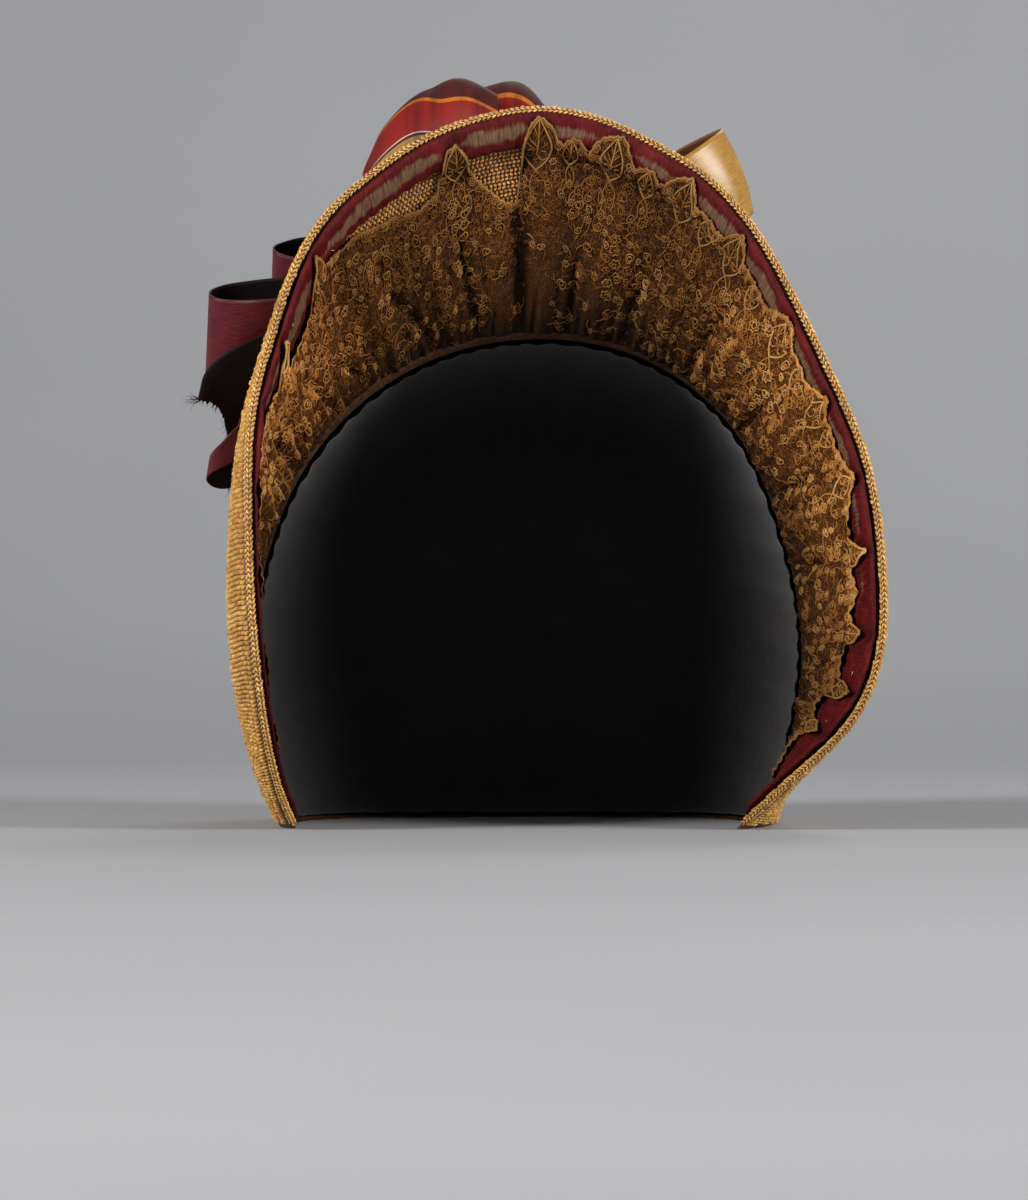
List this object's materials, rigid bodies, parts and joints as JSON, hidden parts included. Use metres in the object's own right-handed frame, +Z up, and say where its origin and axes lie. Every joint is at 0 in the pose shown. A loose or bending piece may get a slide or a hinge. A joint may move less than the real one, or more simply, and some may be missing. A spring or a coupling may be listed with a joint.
{
  "type": "poke bonnet",
  "caption": "Poke bonnet of straw braid with a rounded crown, flaring brim, velvet roll, gathered lace facing, black lining and ribbon loops.",
  "frame": {"origin": "centre of the overall box at the height of the flat neck edge that the bonnet stands on", "axes": "+Z up; the open front of the brim looks along -Y, the crown is towards +Y; +X is to the right as seen from the front"},
  "size_m": [0.1878, 0.1844, 0.2071],
  "materials": {
    "straw": "plaited straw, matt with a slight shine",
    "straw_plait": "plaited straw, slight shine",
    "burgundy_velvet": "velvet, worn grey on its crest",
    "ecru_lace": "matt bobbin-style lace",
    "black_lining": "matt",
    "burgundy_satin": "satin",
    "striped_ribbon": "fine ribbed silk with lengthwise stripes",
    "gold_satin": "satin"
  },
  "bodies": {
    "root": {"brim_straw": "straw", "crown_straw": "straw", "rim_braid": "straw_plait", "velvet_roll": "burgundy_velvet", "lace_frill": "ecru_lace", "crown_lining": "black_lining", "burgundy_loop_upper": "burgundy_satin", "burgundy_loop_lower": "burgundy_satin", "burgundy_tail_dark": "burgundy_satin", "burgundy_tail_folded": "burgundy_satin", "striped_puff_left": "striped_ribbon", "striped_puff_right": "striped_ribbon", "gold_loop": "gold_satin"}
  },
  "joints": []
}
